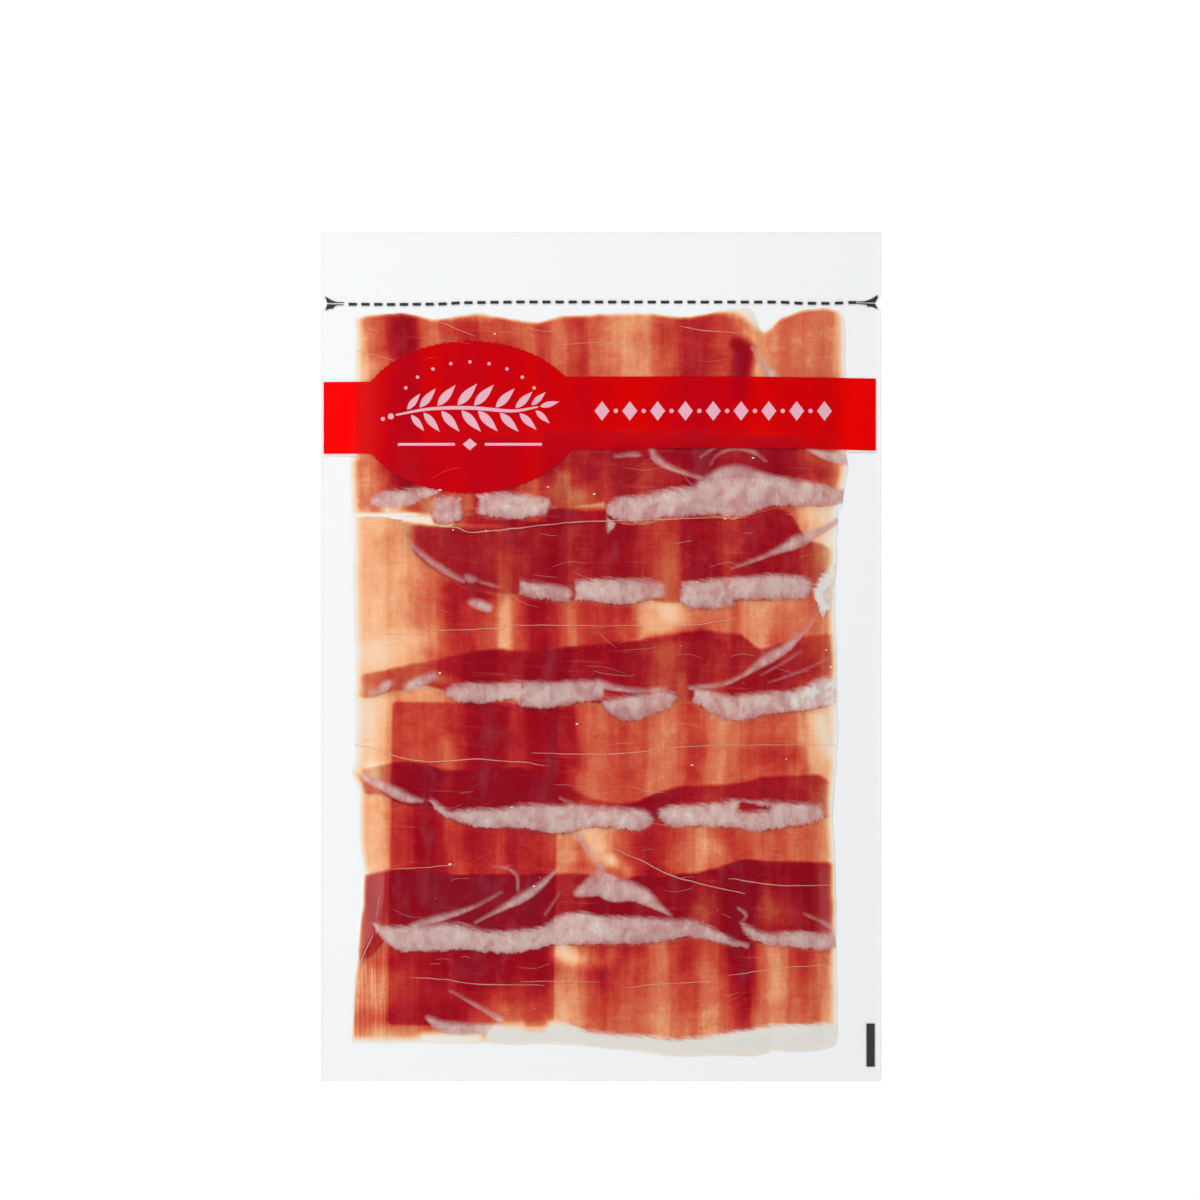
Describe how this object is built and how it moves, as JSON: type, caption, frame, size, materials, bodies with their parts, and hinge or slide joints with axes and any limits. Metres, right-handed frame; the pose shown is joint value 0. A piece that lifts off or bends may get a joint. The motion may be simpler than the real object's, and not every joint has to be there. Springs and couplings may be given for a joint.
{
  "type": "vacuum pack of sliced cured ham",
  "caption": "Flat clear vacuum pack of thin cured ham slices laid in lapping rows, with a printed cross band, a tear strip with notches and a paper label on the back.",
  "frame": {"origin": "centre of the pack's underside, where it rests", "axes": "+X to the right of the printed face, +Y along the length towards the end with the tear notches, +Z out of the printed face"},
  "size_m": [0.17, 0.2576, 0.0041],
  "materials": {
    "sealed_ham": "clear glossy film drawn tight over red and orange cured ham with pale fat",
    "label_paper": "smooth coated label paper, slightly satin"
  },
  "bodies": {
    "root": {"pouch": "sealed_ham", "back_label": "label_paper"}
  },
  "joints": []
}
